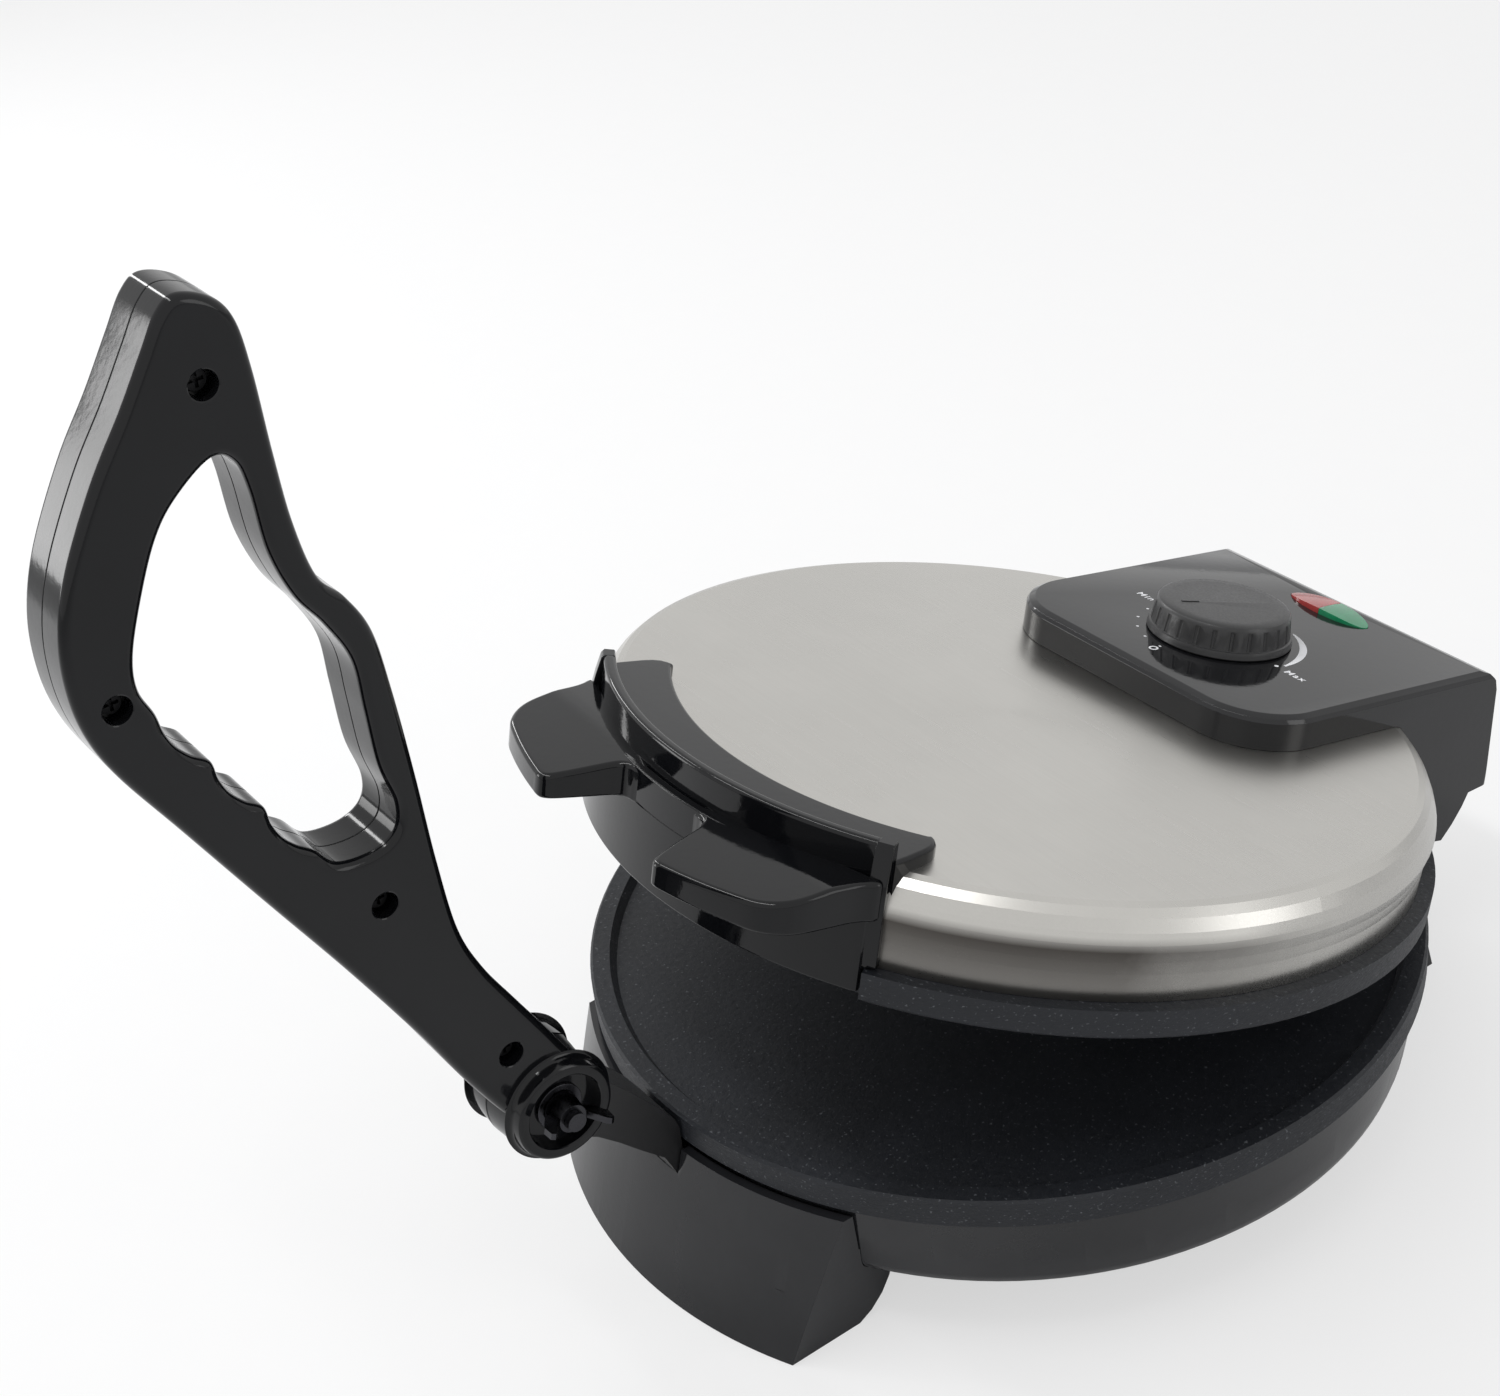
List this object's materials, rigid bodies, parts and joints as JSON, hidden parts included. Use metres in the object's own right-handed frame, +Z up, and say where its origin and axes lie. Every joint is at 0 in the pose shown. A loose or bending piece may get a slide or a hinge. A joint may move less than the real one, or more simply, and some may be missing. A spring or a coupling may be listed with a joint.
{
  "type": "electric roti maker",
  "caption": "Countertop flatbread press with two round heated plates, a hinged lid with dial and pilot lens, and a tall looped press lever at the front.",
  "frame": {"origin": "on the floor, under the middle of the object's outline at rest; the plates' axis stands 55.96 mm behind it", "axes": "+X to the right seen from the lever side, +Y back towards the hinge, +Z up"},
  "size_m": [0.27, 0.442, 0.3615],
  "materials": {
    "black_plastic": "gloss",
    "plate_coating": "satin",
    "element_tube": "satin",
    "shield_sheet": "satin",
    "foot_rubber": "matte",
    "bracket_paint": "satin",
    "screw_steel": "satin",
    "white_insulator": "matte",
    "cover_steel": "satin",
    "thermostat_brass": "satin",
    "lens_red": "gloss",
    "lens_green": "gloss",
    "lamp_glass": "gloss",
    "knob_plastic": "matte",
    "wing_nut_metal": "gloss"
  },
  "bodies": {
    "base": {"base_housing": "black_plastic", "base_bottom_cover": "black_plastic", "front_block": "black_plastic", "rear_block": "black_plastic", "lower_plate": "plate_coating", "lower_heating_element": "element_tube", "lower_heat_shield": "shield_sheet", "rubber_feet": "foot_rubber", "lever_bracket": "bracket_paint", "bracket_screws": "screw_steel", "base_screws": "screw_steel", "block_screws": "screw_steel", "hinge_pins": "screw_steel", "cord_gland": "foot_rubber", "terminal_block": "white_insulator"},
    "lid": {"lid_cover": "cover_steel", "upper_plate": "plate_coating", "upper_heating_element": "element_tube", "lid_heat_shield": "shield_sheet", "lid_handle": "black_plastic", "handle_screws": "screw_steel", "control_housing": "black_plastic", "housing_screws": "screw_steel", "thermostat": "thermostat_brass", "red_lens": "lens_red", "green_lens": "lens_green", "pilot_lamps": "lamp_glass", "thermal_fuse": "white_insulator"},
    "knob": {"control_knob": "knob_plastic", "thermostat_shaft": "screw_steel"},
    "lever": {"lever_shell_right": "black_plastic", "lever_shell_left": "black_plastic", "lever_screws": "screw_steel", "pivot_bolt": "screw_steel", "pivot_washer": "screw_steel"},
    "wing_nut_body": {"wing_nut": "wing_nut_metal"}
  },
  "joints": [
    {"name": "lid_hinge", "type": "hinge", "parent": "base", "child": "lid", "pos_m": [0, 0.20236, 0.0717], "axis": [-1, 0, 0], "range_deg": [-14.6, 73]},
    {"name": "knob_turn", "type": "hinge", "parent": "lid", "child": "knob", "pos_m": [0, 0.15459, 0.12475], "axis": [0, 0.2521, 0.9677], "range_deg": [-244, 26]},
    {"name": "lever_pivot", "type": "hinge", "parent": "base", "child": "lever", "pos_m": [0, -0.11854, 0.0915], "axis": [-1, 0, 0], "range_deg": [0, 46]},
    {"name": "wing_nut_turn", "type": "hinge", "parent": "lever", "child": "wing_nut_body", "pos_m": [0.0165, -0.11854, 0.0915], "axis": [1, 0, 0], "continuous": true}
  ]
}
